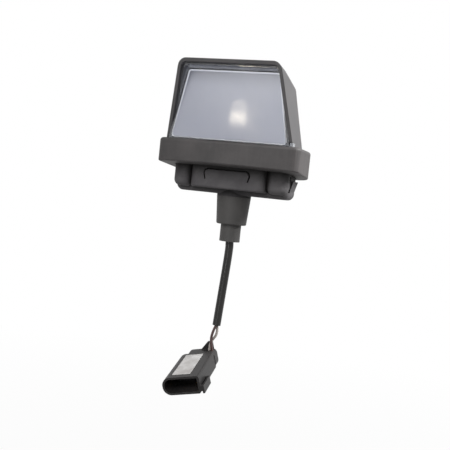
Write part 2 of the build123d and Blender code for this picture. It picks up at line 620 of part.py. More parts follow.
def build():
    """Return every piece of the lamp by name."""
    form = hood_form(0)
    cavity = hood_form(HOOD_WALL)
    frame, window, skirt = make_lens(cavity)
    holder, holder_seal = make_holder()
    glass, filament = make_bulb()
    boot, sleeve = make_boot()
    shell, cover, terminals, ring, label, ends = make_connector()
    seat = Plane(origin=CONNECTOR_MOUTH, x_dir=CONNECTOR_ACROSS, z_dir=CONNECTOR_AXIS)
    place = seat.location
    return {
        "mounting_pad": make_pad(),
        "lamp_base": make_base(cavity, skirt),
        "hood": make_hood(form),
        "lens_frame": frame,
        "lens_window": window,
        "reflector": make_reflector(),
        "bulb_holder": holder,
        "holder_seal": holder_seal,
        "contact_live": make_contact(-1),
        "contact_ground": make_contact(1),
        "bulb_glass": glass,
        "bulb_filament": filament,
        "cable_boot": boot,
        "cable_sleeve": sleeve,
        "lead_live": cord(lead_points(-1), WIRE_DIAMETER, "lead_live"),
        "lead_ground": cord(lead_points(1), WIRE_DIAMETER, "lead_ground"),
        "cable_sheath": cord([(0, 0, CABLE_TOP)] + CABLE_POINTS, CABLE_DIAMETER, "cable_sheath"),
        "wire_live": cord(wire_points(-1, seat, ends[0]), WIRE_DIAMETER, "wire_live"),
        "wire_ground": cord(wire_points(1, seat, ends[1]), WIRE_DIAMETER, "wire_ground"),
        "connector_shell": place * shell,
        "connector_cover": place * cover,
        "terminal_live": place * terminals[1],
        "terminal_ground": place * terminals[0],
        "interface_seal": place * ring,
        "connector_label": place * label,
    }


os.makedirs("parts", exist_ok=True)
for node, piece in build().items():
    export_step(Pos(0, 0, SEAT_RISE) * piece, f"parts/{node}.step")
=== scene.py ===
"""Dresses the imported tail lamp: its finishes, cable, conductors and bulb coil, the light and the camera."""

from __future__ import annotations

import logging
import math
from dataclasses import dataclass
from enum import Enum

import bmesh
import bpy
from mathutils import Matrix, Vector

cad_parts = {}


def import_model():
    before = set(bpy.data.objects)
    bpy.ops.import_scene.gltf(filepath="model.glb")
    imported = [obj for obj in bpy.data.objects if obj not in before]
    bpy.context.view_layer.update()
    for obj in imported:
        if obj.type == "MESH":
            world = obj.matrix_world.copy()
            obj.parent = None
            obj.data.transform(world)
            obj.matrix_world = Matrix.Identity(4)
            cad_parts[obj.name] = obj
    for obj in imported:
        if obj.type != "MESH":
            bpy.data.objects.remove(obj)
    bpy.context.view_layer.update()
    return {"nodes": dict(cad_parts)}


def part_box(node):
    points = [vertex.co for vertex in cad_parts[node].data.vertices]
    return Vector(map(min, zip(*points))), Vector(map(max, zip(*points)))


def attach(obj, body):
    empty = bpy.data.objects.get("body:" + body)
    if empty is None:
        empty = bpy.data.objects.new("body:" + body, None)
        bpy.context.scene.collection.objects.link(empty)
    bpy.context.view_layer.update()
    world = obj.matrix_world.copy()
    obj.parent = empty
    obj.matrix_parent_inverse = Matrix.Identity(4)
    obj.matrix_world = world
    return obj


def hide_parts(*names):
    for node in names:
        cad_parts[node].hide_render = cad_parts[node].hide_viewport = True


LOG = logging.getLogger("tail_lamp")
BODY = "root"

Colour = tuple[float, float, float, float]
Point = tuple[float, float, float]
Range = tuple[float, float]
Tree = bpy.types.NodeTree
Socket = bpy.types.NodeSocket

# Refractive indices: filled polypropylene and rubber, then glass, PVC and coated paper, then polycarbonate
MOULDING_IOR = 1.49
GLASS_IOR = 1.5
POLYCARBONATE_IOR = 1.58

WHITE: Colour = (1.0, 1.0, 1.0, 1.0)
# The colour of the painted shade in recesses
PAINTED_RECESS_SHADE = "#1C1B1A"
COIL_LIGHT = "#FFEBC4"

# Values of a noise that are spread over the whole of a pattern
UNIT: Range = (0.0, 1.0)
CLOUD_SPREAD: Range = (0.32, 0.68)
SOIL_SPREAD: Range = (0.38, 0.66)
STREAK_SPREAD: Range = (0.5, 0.75)
# Lines from the pull of a mould: their length over their width, their height over the grain's,
# and how plain they are from the front to the ends
STREAK_STRETCH = 30.0
STREAK_HEIGHT = 3.0
END_FACING: Range = (0.3, 0.9)
STREAK_REACH: Range = (0.03, 0.4)
# Drawing lines on metal: their length over their width
DRAWN_STRETCH = 20.0
# How far a normal turns at an edge, as a cosine, from unworn and unlit to worn and painted bright
EDGE_TURN: Range = (0.995, 0.80)
# How open a place is, from no painted shade to full painted shade
RECESS_OPENNESS: Range = (0.95, 0.5)


class Side(Enum):
    """The two conductors of the cable."""

    LIVE = "live"
    GROUND = "ground"


def linear(hex_colour: str) -> Colour:
    """Turn an sRGB hex colour into a linear one.

    Args:
        hex_colour: The colour as "#RRGGBB".

    Returns:
        Linear red, green, blue and an alpha of 1.
    """
    shares = [int(hex_colour[i:i + 2], 16) / 255 for i in (1, 3, 5)]
    lit = [s / 12.92 if s <= 0.04045 else ((s + 0.055) / 1.055) ** 2.4 for s in shares]
    return (lit[0], lit[1], lit[2], 1.0)


def per_metre(size_mm: float) -> float:
    """Return the scale of a pattern whose features have a size in millimetres, on coordinates in metres."""
    return 1000.0 / size_mm


def metres(point_mm: Point) -> Vector:
    """Return a point given in millimetres, in metres."""
    return Vector(point_mm) / 1000.0


def put(name: str, data: bpy.types.ID) -> bpy.types.Object:
    """Put an object with some data in the scene, at the origin."""
    made = bpy.data.objects.new(name, data)
    bpy.context.scene.collection.objects.link(made)
    return made


def add_node(
    tree: Tree,
    kind: str,
    settings: dict[str, object] | None = None,
    links: dict[str, Socket] | None = None,
) -> bpy.types.Node:
    """Add a node with its settings and links.

    Args:
        tree: The node tree that gets the node.
        kind: The node's type name.
        settings: Values by name: the node's own properties, or its input sockets by name or number.
        links: Output sockets of other nodes, by the name or number of the input they feed.

    Returns:
        The new node.
    """
    node = tree.nodes.new(kind)
    for key, value in (settings or {}).items():
        if key.isdigit():
            node.inputs[int(key)].default_value = value
        elif key in node.bl_rna.properties:
            setattr(node, key, value)
        else:
            node.inputs[key].default_value = value
    for key, socket in (links or {}).items():
        tree.links.new(socket, node.inputs[int(key) if key.isdigit() else key])
    return node


def object_place(tree: Tree) -> Socket:
    """Return the place on the object, in metres in the shared frame."""
    return add_node(tree, "ShaderNodeTexCoord").outputs["Object"]


def part_of(tree: Tree, vector: Socket, axis: str) -> Socket:
    """Return a vector's part along an axis."""
    return add_node(tree, "ShaderNodeSeparateXYZ", None, {"Vector": vector}).outputs[axis]


def calc(tree: Tree, operation: str, *terms: float | Socket) -> Socket:
    """Return the result of a Math node.

    Args:
        tree: The node tree that gets the node.
        operation: The node's operation.
        terms: Its inputs in order, as numbers or as other nodes' outputs.

    Returns:
        The node's output.
    """
    settings: dict[str, object] = {"operation": operation}
    links: dict[str, Socket] = {}
    for number, term in enumerate(terms):
        inputs = links if isinstance(term, Socket) else settings
        inputs[str(number)] = term
    return add_node(tree, "ShaderNodeMath", settings, links).outputs["Value"]


def mapped(tree: Tree, value: Socket, given: Range, wanted: Range, ease: str = "LINEAR") -> Socket:
    """Return a value taken from one range to another and held at its ends."""
    settings = {
        "interpolation_type": ease, "From Min": given[0], "From Max": given[1],
        "To Min": wanted[0], "To Max": wanted[1],
    }
    return add_node(tree, "ShaderNodeMapRange", settings, {"Value": value}).outputs["Result"]


def noise(tree: Tree, place: Socket, size_mm: float, detail: float, roughness: float = 0.5) -> Socket:
    """Return a noise whose features have a size in millimetres."""
    settings = {"Scale": per_metre(size_mm), "Detail": detail, "Roughness": roughness}
    return add_node(tree, "ShaderNodeTexNoise", settings, {"Vector": place}).outputs["Fac"]


def drawn_lines(tree: Tree, place: Socket, width_mm: float, stretch: float) -> Socket:
    """Return a noise that is drawn out upright into lines.

    Args:
        tree: The node tree that gets the nodes.
        place: The place on the object.
        width_mm: The lines' width.
        stretch: Their length over their width.

    Returns:
        The noise's output.
    """
    scale = (per_metre(width_mm), per_metre(width_mm), per_metre(stretch * width_mm))
    drawn = add_node(tree, "ShaderNodeMapping", {"Scale": scale}, {"Vector": place})
    links = {"Vector": drawn.outputs["Vector"]}
    return add_node(tree, "ShaderNodeTexNoise", {"Scale": 1.0, "Detail": 2.0}, links).outputs["Fac"]


def blended(tree: Tree, share: Socket, first: str | Socket, second: str) -> Socket:
    """Return a colour between two.

    Args:
        tree: The node tree that gets the node.
        share: The second colour's share.
        first: The first colour, in hex or from another node.
        second: The second colour, in hex.

    Returns:
        The colour's output.
    """
    settings: dict[str, object] = {"data_type": "RGBA", "7": linear(second)}
    links = {"0": share}
    if isinstance(first, str):
        settings["6"] = linear(first)
    else:
        links["6"] = first
    return add_node(tree, "ShaderNodeMix", settings, links).outputs[2]


def bumped(
    tree: Tree, height: Socket, strength: float, depth_mm: float, normal: Socket | None = None
) -> Socket:
    """Return the normal of a surface with a fine relief.

    Args:
        tree: The node tree that gets the node.
        height: The relief's height.
        strength: How strongly it shows.
        depth_mm: Its depth.
        normal: The normal without the relief, if it isn't the face's own.

    Returns:
        The normal's output.
    """
    links = {"Height": height}
    if normal is not None:
        links["Normal"] = normal
    settings = {"Strength": strength, "Distance": depth_mm / 1000}
    return add_node(tree, "ShaderNodeBump", settings, links).outputs["Normal"]


def uneven(tree: Tree, pattern: Socket, middle: float, below: float, above: float) -> Socket:
    """Return a roughness that follows a pattern, from some way below a middle value to above it."""
    return mapped(tree, pattern, UNIT, (middle - below, middle + above))


def principled(tree: Tree, settings: dict[str, object], links: dict[str, Socket]) -> Socket:
    """Return a surface made by the Principled shader."""
    return add_node(tree, "ShaderNodeBsdfPrincipled", settings, links).outputs["BSDF"]


def white_rays(tree: Tree) -> Socket:
    """Return 1 for the rays that meet white: from the camera, from reflections and through clear pieces."""
    path = add_node(tree, "ShaderNodeLightPath")
    either = calc(tree, "MAXIMUM", path.outputs["Is Camera Ray"], path.outputs["Is Glossy Ray"])
    return calc(tree, "MAXIMUM", either, path.outputs["Is Transmission Ray"])


class Finish:
    """A surface finish that is made once as a material and shared by the pieces that have it."""

    name: str

    def shade(self, tree: Tree) -> Socket:
        """Build the finish's nodes and return the shader's output."""
        raise NotImplementedError

    def material(self) -> bpy.types.Material:
        """Return the finish's material, made on its first use."""
        known = bpy.data.materials.get(self.name)
        if known is not None:
            return known
        made = bpy.data.materials.new(self.name)
        made.use_nodes = True
        made.node_tree.nodes.clear()
        surface = self.shade(made.node_tree)
        add_node(made.node_tree, "ShaderNodeOutputMaterial", None, {"Surface": surface})
        return made


@dataclass(frozen=True)
class GrainedMoulding(Finish):
    """Plastic or rubber from an eroded mould: a fine matt grain, cloudy tone, edges painted paler as wear and
    highlight, and painted shade in recesses where asked.
    """

    name: str
    colour: str
    clouded: str
    # The edges' paler colour: handling wear and a painted highlight
    rubbed_and_lit: str
    roughness: float
    grain_mm: float = 0.5
    grain_depth_mm: float = 0.03
    cloud_mm: float = 14.0
    edge_mm: float = 0.5
    # How far the edges are painted paler: wear and painted highlight
    rub_and_highlight: float = 0.55
    streak_mm: float = 0.0
    shine: float = 0.35
    # How dark the painted shade in the recesses is
    recess_shade: float = 0.0
    recess_mm: float = 12.0
    rough_spread: float = 0.07
    relief: float = 0.6

    def shade(self, tree: Tree) -> Socket:
        """Build the grained surface.

        Args:
            tree: The material's node tree.

        Returns:
            The shader's output.
        """
        place = object_place(tree)
        # The real grain is about 0.1 mm, and is drawn coarser so that it shows at this size
        height = noise(tree, place, self.grain_mm, detail=3.0, roughness=0.6)
        clouds = noise(tree, place, self.cloud_mm, detail=4.0, roughness=0.55)
        patches = mapped(tree, clouds, CLOUD_SPREAD, UNIT)
        colour = blended(tree, patches, self.colour, self.clouded)
        # Rounded edges catch the light through the bevel normal, and are also painted paler than the faces:
        # partly handling wear, partly a painted highlight
        rounding = {"samples": 6, "Radius": self.edge_mm / 1000}
        edge = add_node(tree, "ShaderNodeBevel", rounding).outputs["Normal"]
        face = add_node(tree, "ShaderNodeNewGeometry").outputs["Normal"]
        turned = add_node(
            tree, "ShaderNodeVectorMath", {"operation": "DOT_PRODUCT"}, {"0": edge, "1": face},
        )
        worn_and_lit = mapped(tree, turned.outputs["Value"], EDGE_TURN, (0.0, self.rub_and_highlight))
        colour = blended(tree, calc(tree, "MULTIPLY", worn_and_lit, patches), colour, self.rubbed_and_lit)
        if self.streak_mm:
            streaks = drawn_lines(tree, place, self.streak_mm, STREAK_STRETCH)
            height = calc(tree, "MULTIPLY_ADD", streaks, STREAK_HEIGHT, height)
            # The lines are plain on the ends, where the mould was pulled, and faint on the front
            endwise = calc(tree, "ABSOLUTE", part_of(tree, face, "X"))
            reach = mapped(tree, endwise, END_FACING, STREAK_REACH)
            pale = mapped(tree, streaks, STREAK_SPREAD, UNIT)
            colour = blended(tree, calc(tree, "MULTIPLY", pale, reach), colour, self.rubbed_and_lit)
        if self.recess_shade:
            # Painted shade: the recesses are darkened by how closed-in they are, as where shade falls
            reach_m = self.recess_mm / 1000
            open_share = add_node(tree, "ShaderNodeAmbientOcclusion", {"samples": 8, "Distance": reach_m})
            painted_shade = mapped(tree, open_share.outputs["AO"], RECESS_OPENNESS, (0.0, self.recess_shade))
            colour = blended(tree, painted_shade, colour, PAINTED_RECESS_SHADE)
        rough = uneven(tree, clouds, self.roughness, self.rough_spread, self.rough_spread)
        normal = bumped(tree, height, self.relief, self.grain_depth_mm, edge)
        return principled(
            tree, {"IOR": MOULDING_IOR, "Specular IOR Level": self.shine},
            {"Base Color": colour, "Roughness": rough, "Normal": normal},
        )


@dataclass(frozen=True)
class ClearPlastic(Finish):
    """Polished polycarbonate: nearly colourless, with bright edges where light leaves it."""

    name: str
    tint: str
    roughness: float
    transmission: float
    ripple_mm: float = 4.0
    ripple_depth_mm: float = 0.1
    relief: float = 0.15

    def shade(self, tree: Tree) -> Socket:
        """Build the clear surface with the slow ripple of a moulded face."""
        ripple = noise(tree, object_place(tree), self.ripple_mm, detail=1.0)
        return principled(
            tree,
            {
                "Base Color": linear(self.tint), "Roughness": self.roughness, "IOR": POLYCARBONATE_IOR,
                "Transmission Weight": self.transmission,
            },
            {"Normal": bumped(tree, ripple, self.relief, self.ripple_depth_mm)},
        )


@dataclass(frozen=True)
class LitClear(Finish):
    """A clear piece with a painted glow for the bulb's light, stronger at some heights than at others."""

    name: str
    tint: str
    light: str
    roughness: float
    transmission: float
    ior: float
    glow: float

    def glow_at(self, tree: Tree, height: Socket) -> Socket:
        """Build the strength of the painted glow at a height, in metres."""
        raise NotImplementedError

    def shade(self, tree: Tree) -> Socket:
        """Build the clear surface with its painted glow."""
        height = part_of(tree, object_place(tree), "Z")
        return principled(
            tree,
            {
                "Base Color": linear(self.tint), "Roughness": self.roughness, "IOR": self.ior,
                "Transmission Weight": self.transmission, "Emission Color": linear(self.light),
            },
            {"Emission Strength": self.glow_at(tree, height)},
        )


@dataclass(frozen=True)
class PaintedGlowEdge(LitClear):
    """The rounded edge of a clear moulding, with a painted glow for the bulb's light that is whiter further
    up.
    """

    low_m: float
    high_m: float

    def glow_at(self, tree: Tree, height: Socket) -> Socket:
        """Build the glow from foot to head."""
        return mapped(tree, height, (self.low_m, self.high_m), (0.0, self.glow))


@dataclass(frozen=True)
class PearlGlass(LitClear):
    """Bulb glass etched inside, given a painted glow for the coil's light: beside the coil and a little at
    its tip.
    """

    coil_mm: float
    near_mm: float
    far_mm: float
    tip_glow: float
    tip_foot_mm: float
    tip_mm: float

    def glow_at(self, tree: Tree, height: Socket) -> Socket:
        """Build the glow, which fades above and below the coil and comes back at the tip."""
        away = calc(tree, "ABSOLUTE", calc(tree, "SUBTRACT", height, self.coil_mm / 1000))
        fade_span = (self.near_mm / 1000, self.far_mm / 1000)
        beside = mapped(tree, away, fade_span, (self.glow, 0.0), "SMOOTHSTEP")
        tip_span = (self.tip_foot_mm / 1000, self.tip_mm / 1000)
        tip = mapped(tree, height, tip_span, (0.0, self.tip_glow), "SMOOTHSTEP")
        return calc(tree, "ADD", beside, tip)


@dataclass(frozen=True)
class FrostedPlastic(Finish):
    """Polycarbonate with an eroded inner face: milky, and soft about what stands behind it."""

    name: str
    colour: str
    clouded: str
    roughness: float
    transmission: float
    frost_mm: float = 0.45
    frost_depth_mm: float = 0.02
    relief: float = 0.3
    cloud_mm: float = 22.0

    def shade(self, tree: Tree) -> Socket:
        """Build the frosted surface."""
        place = object_place(tree)
        frost = noise(tree, place, self.frost_mm, detail=2.0)
        clouds = noise(tree, place, self.cloud_mm, detail=3.0)
        return principled(
            tree,
            {
                "Roughness": self.roughness, "IOR": POLYCARBONATE_IOR,
                "Transmission Weight": self.transmission,
            },
            {
                "Base Color": blended(tree, clouds, self.colour, self.clouded),
                "Normal": bumped(tree, frost, self.relief, self.frost_depth_mm),
            },
        )


@dataclass(frozen=True)
class SmoothMoulding(Finish):
    """Unfilled plastic from a polished mould: an even colour with a soft gloss."""

    name: str
    colour: str
    clouded: str
    roughness: float
    cloud_mm: float = 6.0
    cloud_depth_mm: float = 0.02
    relief: float = 0.2
    shine: float = 0.5
    rough_spread: float = 0.05

    def shade(self, tree: Tree) -> Socket:
        """Build the smooth surface."""
        clouds = noise(tree, object_place(tree), self.cloud_mm, detail=3.0)
        rough = uneven(tree, clouds, self.roughness, self.rough_spread, self.rough_spread)
        return principled(
            tree, {"IOR": GLASS_IOR, "Specular IOR Level": self.shine},
            {
                "Base Color": blended(tree, clouds, self.colour, self.clouded), "Roughness": rough,
                "Normal": bumped(tree, clouds, self.relief, self.cloud_depth_mm),
            },
        )


@dataclass(frozen=True)
class StampedMetal(Finish):
    """Strip or wire: bright metal with fine drawing lines and a little tarnish."""

    name: str
    colour: str
    tarnish: str
    roughness: float
    line_mm: float = 0.15
    glow: float = 0.0
    smoother: float = 0.08
    rougher: float = 0.12

    def shade(self, tree: Tree) -> Socket:
        """Build the metal surface, with a glow for a wire that is lit."""
        lines = drawn_lines(tree, object_place(tree), self.line_mm, DRAWN_STRETCH)
        rough = uneven(tree, lines, self.roughness, self.smoother, self.rougher)
        return principled(
            tree, {"Metallic": 1.0, "Emission Color": linear(COIL_LIGHT), "Emission Strength": self.glow},
            {"Base Color": blended(tree, lines, self.colour, self.tarnish), "Roughness": rough},
        )


@dataclass(frozen=True)
class LabelStock(Finish):
    """Coated paper sticker: off-white, slightly rippled where it was pressed on, a little soiled."""

    name: str
    colour: str
    soiled: str
    roughness: float
    ripple_mm: float = 5.0
    ripple_depth_mm: float = 0.2
    relief: float = 0.35
    soil_mm: float = 9.0

    def shade(self, tree: Tree) -> Socket:
        """Build the paper surface."""
        place = object_place(tree)
        ripple = noise(tree, place, self.ripple_mm, detail=2.0)
        patches = mapped(tree, noise(tree, place, self.soil_mm, detail=4.0), SOIL_SPREAD, UNIT)
        return principled(
            tree, {"Roughness": self.roughness, "IOR": GLASS_IOR},
            {
                "Base Color": blended(tree, patches, self.colour, self.soiled),
                "Normal": bumped(tree, ripple, self.relief, self.ripple_depth_mm),
            },
        )


@dataclass(frozen=True)
class SeamlessPaper(Finish):
    """The studio floor: white paper that looks white to the camera and still takes a soft shadow."""

    name: str
    colour: str
    lift: float
    near_m: float = 0.35
    far_m: float = 1.2

    def shade(self, tree: Tree) -> Socket:
        """Build the floor's surface, which fades into the white surroundings away from the object."""
        place = object_place(tree)
        distance = add_node(tree, "ShaderNodeVectorMath", {"operation": "LENGTH"}, {"0": place})
        fade = mapped(tree, distance.outputs["Value"], (self.near_m, self.far_m), (self.lift, 1.0))
        share = calc(tree, "MULTIPLY", white_rays(tree), fade)
        paper = add_node(tree, "ShaderNodeBsdfDiffuse", {"Color": linear(self.colour)})
        white = add_node(tree, "ShaderNodeEmission", {"Color": WHITE, "Strength": 1.0})
        return add_node(
            tree, "ShaderNodeMixShader", None,
            {"0": share, "1": paper.outputs["BSDF"], "2": white.outputs["Emission"]},
        ).outputs["Shader"]


# Talc-filled polypropylene with a spark-eroded grain: dark grey, matt, paler at the edges, with painted shade
# darkening its recesses
HOUSING = GrainedMoulding(
    "filled_polypropylene_housing", "#4A484A", "#5C5A5B", "#868382", roughness=0.6, shine=0.12, recess_shade=0.9,
)
# The same plastic on the hood as a separate copy, darker and shinier, set so that the hood's lit side reads
# brighter than the base: a lit copy of one material
HOOD = GrainedMoulding("lit_copy_polypropylene_hood", "#424142", "#4C4A4B", "#807D7C", roughness=0.5)
# Glass-filled nylon in the smaller connector mouldings, which are smoother
CONNECTOR = GrainedMoulding(
    "glass_filled_nylon_connector", "#1F1E1E", "#282626", "#716E6D", roughness=0.45, grain_mm=0.35,
    grain_depth_mm=0.015, cloud_mm=9.0, edge_mm=0.35, shine=0.2,
)
# Moulded rubber: matt, on the pad with faint lines along the pull of the mould
PAD = GrainedMoulding(
    "moulded_rubber_pad", "#343232", "#454242", "#736E6C", roughness=0.6, grain_mm=0.6, cloud_mm=16.0,
    edge_mm=0.6, rub_and_highlight=0.5, streak_mm=1.6,
)
BOOT = GrainedMoulding(
    "moulded_rubber_boot", "#3A3938", "#434140", "#64615F", roughness=0.58, grain_depth_mm=0.02,
    cloud_mm=11.0, edge_mm=0.4,
)
HOLDER = GrainedMoulding("nylon_bulb_holder", "#2B2B2B", "#333333", "#666666", roughness=0.5)
SEAL = SmoothMoulding("silicone_seal", "#1C1B1B", "#252424", roughness=0.45)
# Polycarbonate: clear at the polished border, milky where the mould was eroded, cloudy in the thick foot
CLEAR = ClearPlastic("polished_polycarbonate", "#F2F5FC", roughness=0.05, transmission=0.9)
FROSTED = FrostedPlastic("frosted_polycarbonate", "#B7BBCB", "#C3C6D3", roughness=0.23, transmission=0.5)
FOOT = FrostedPlastic("cloudy_polycarbonate_foot", "#ABAEB4", "#B7BAC0", roughness=0.2, transmission=0.6)
REFLECTOR = SmoothMoulding("white_abs_reflector", "#E4E4E2", "#D8D8D6", roughness=0.3)
# Pearl glass with a painted glow: the envelope is seen as a soft bright patch through the window
BULB = PearlGlass(
    "pearl_bulb_glass", "#FFFFFF", "#FFF0CC", roughness=0.35, transmission=0.7, ior=GLASS_IOR, glow=1.2,
    coil_mm=33.0, near_mm=0.5, far_mm=7.5, tip_glow=0.6, tip_foot_mm=37.5, tip_mm=42.5,
)
FILAMENT = StampedMetal("lit_tungsten_wire", "#8A8680", "#6E6A66", roughness=0.3, glow=6.0)
SUPPORT = StampedMetal("nickel_support_wire", "#B4B0A8", "#9A968E", roughness=0.3)
BRASS = StampedMetal("stamped_brass", "#C8A24E", "#A8843C", roughness=0.28)
# PVC: the jacket is drawn through a die, smooth with a soft long highlight
JACKET = SmoothMoulding("pvc_cable_jacket", "#171615", "#1E1D1C", roughness=0.32, shine=0.28)
BROWN = SmoothMoulding("brown_pvc_insulation", "#4A3432", "#3A2725", roughness=0.35)
GREY = SmoothMoulding("grey_pvc_insulation", "#A8A29C", "#948D88", roughness=0.35)
LABEL = LabelStock("coated_paper_label", "#A2A1A0", "#84817F", roughness=0.45)
PAPER = SeamlessPaper("seamless_paper", "#6E6E6E", lift=0.95)


def dress_nodes(nodes: dict[str, bpy.types.Object], finishes: dict[str, Finish]) -> list[bpy.types.Object]:
    """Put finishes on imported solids.

    Args:
        nodes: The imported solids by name.
        finishes: The finish of each solid that gets one.

    Returns:
        The solids that got a finish.
    """
    for name, finish in finishes.items():
        materials = nodes[name].data.materials
        materials.clear()
        materials.append(finish.material())
        LOG.info("dressed %s in %s", name, finish.name)
    return [nodes[name] for name in finishes]


@dataclass
class LampHead:
    """The lamp itself: pad, base, hood, lens, reflector, bulb and holder, with the coil and lens trim."""

    nodes: dict[str, bpy.types.Object]

    def dress(self) -> None:
        """Give each solid of the lamp its finish, and add the coil and the trim."""
        finishes: dict[str, Finish] = {
            "mounting_pad": PAD, "lamp_base": HOUSING, "hood": HOOD, "lens_frame": CLEAR,
            "lens_window": FROSTED, "reflector": REFLECTOR, "bulb_holder": HOLDER, "holder_seal": SEAL,
            "contact_live": BRASS, "contact_ground": BRASS, "bulb_glass": BULB, "cable_boot": BOOT,
            "cable_sleeve": BOOT, "lead_live": GREY, "lead_ground": BROWN,
        }
        dress_nodes(self.nodes, finishes)
        FilamentCoil().build()
        WindowBead().build()
        LensFoot().build()


def new_group(name: str, numbers: tuple[str, ...], finishes: tuple[str, ...]) -> Tree:
    """Return an empty node group that gives a geometry.

    Args:
        name: The group's name.
        numbers: The names of its inputs that are numbers.
        finishes: The names of its inputs that are materials.

    Returns:
        The group.
    """
    tree = bpy.data.node_groups.new(name, "GeometryNodeTree")
    tree.interface.new_socket("Geometry", in_out="OUTPUT", socket_type="NodeSocketGeometry")
    for label in numbers:
        tree.interface.new_socket(label, in_out="INPUT", socket_type="NodeSocketFloat")
    for label in finishes:
        tree.interface.new_socket(label, in_out="INPUT", socket_type="NodeSocketMaterial")
    return tree


def swept(tree: Tree, curve: Socket, radius: Socket, facets: int, finish: Socket, capped: bool) -> Socket:
    """Sweep a round section along a curve.

    Args:
        tree: The node group.
        curve: The curve.
        radius: The section's radius.
        facets: The section's number of sides.
        finish: The material.
        capped: Whether the ends are closed.

    Returns:
        The dressed mesh's output.
    """
    section = add_node(tree, "GeometryNodeCurvePrimitiveCircle", {"Resolution": facets}, {"Radius": radius})
    run = add_node(
        tree, "GeometryNodeCurveToMesh", {"Fill Caps": capped},
        {"Curve": curve, "Profile Curve": section.outputs["Curve"]},
    )
    real = add_node(tree, "GeometryNodeRealizeInstances", None, {"Geometry": run.outputs["Mesh"]})
    links = {"Geometry": real.outputs["Geometry"], "Material": finish}
    return add_node(tree, "GeometryNodeSetMaterial", None, links).outputs["Geometry"]


def grown(name: str, group: Tree, values: dict[str, object], place: Vector) -> bpy.types.Object:
    """Run a node group once and keep its mesh.

    Args:
        name: The new piece's name.
        group: The node group.
        values: The group's inputs by name.
        place: Where the group's origin goes, in metres.

    Returns:
        An object with the finished mesh, linked to the scene.
    """
    carrier = put(f"{name}_carrier", bpy.data.meshes.new(f"{name}_carrier"))
    modifier = carrier.modifiers.new(name, "NODES")
    modifier.node_group = group
    for item in group.interface.items_tree:
        if item.in_out == "INPUT":
            modifier[item.identifier] = values[item.name]
    graph = bpy.context.evaluated_depsgraph_get()
    mesh = bpy.data.meshes.new_from_object(carrier.evaluated_get(graph))
    mesh.name = name
    bpy.data.objects.remove(carrier)
    mesh.transform(Matrix.Translation(place))
    mesh.shade_smooth()
    LOG.info("made %s with %d faces", name, len(mesh.polygons))
    return put(name, mesh)


@dataclass
class FilamentCoil:
    """The bulb's tungsten coil on its two supports, drawn as a helix by a node group."""

    turns: float = 8.0
    turn_steps: int = 16
    radius_mm: float = 0.6
    wire_mm: float = 0.36
    facets: int = 8
    # The coil's height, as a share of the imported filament's
    rise: float = 0.74
    name: str = "filament_coil"

    def group(self) -> Tree:
        """Build the node group.

        Returns:
            A group that sweeps a round wire along a helix and the two supports that carry its ends.
        """
        numbers = ("Span", "Height", "Turns", "Radius", "Wire Radius")
        tree = new_group(self.name, numbers, ("Coil Finish", "Support Finish"))
        given = add_node(tree, "NodeGroupInput").outputs
        right = calc(tree, "MULTIPLY", given["Span"], 0.5)
        left = calc(tree, "MULTIPLY", given["Span"], -0.5)
        helix = add_node(
            tree, "GeometryNodeCurveSpiral", {"Resolution": self.turn_steps},
            {
                "Rotations": given["Turns"], "Start Radius": given["Radius"], "End Radius": given["Radius"],
                "Height": given["Span"],
            },
        )
        left_end = add_node(tree, "ShaderNodeCombineXYZ", None, {"X": left, "Z": given["Height"]})
        laid = add_node(
            tree, "GeometryNodeTransform", {"Rotation": (0.0, math.pi / 2, 0.0)},
            {"Geometry": helix.outputs["Curve"], "Translation": left_end.outputs["Vector"]},
        )
        runs = [(laid.outputs["Geometry"], given["Coil Finish"])]
        for side in (right, left):
            foot = add_node(tree, "ShaderNodeCombineXYZ", None, {"X": side})
            head = add_node(tree, "ShaderNodeCombineXYZ", None, {"X": side, "Z": given["Height"]})
            support = add_node(
                tree, "GeometryNodeCurvePrimitiveLine", None,
                {"Start": foot.outputs["Vector"], "End": head.outputs["Vector"]},
            )
            runs.append((support.outputs["Curve"], given["Support Finish"]))
        joined = add_node(tree, "GeometryNodeJoinGeometry")
        for run, finish in runs:
            wire = swept(tree, run, given["Wire Radius"], self.facets, finish, capped=True)
            tree.links.new(wire, joined.inputs["Geometry"])
        add_node(tree, "NodeGroupOutput", None, {"Geometry": joined.outputs["Geometry"]})
        return tree

    def build(self) -> None:
        """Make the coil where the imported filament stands, and let it stand for that solid."""
        low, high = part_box("bulb_filament")
        wire = self.wire_mm / 1000
        values = {
            "Span": high.x - low.x - 2 * wire, "Height": (high.z - low.z) * self.rise, "Turns": self.turns,
            "Radius": self.radius_mm / 1000, "Wire Radius": wire / 2,
            "Coil Finish": FILAMENT.material(), "Support Finish": SUPPORT.material(),
        }
        place = Vector(((low.x + high.x) / 2, (low.y + high.y) / 2, low.z))
        coil = grown(self.name, self.group(), values, place)
        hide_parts("bulb_filament")
        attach(coil, BODY)


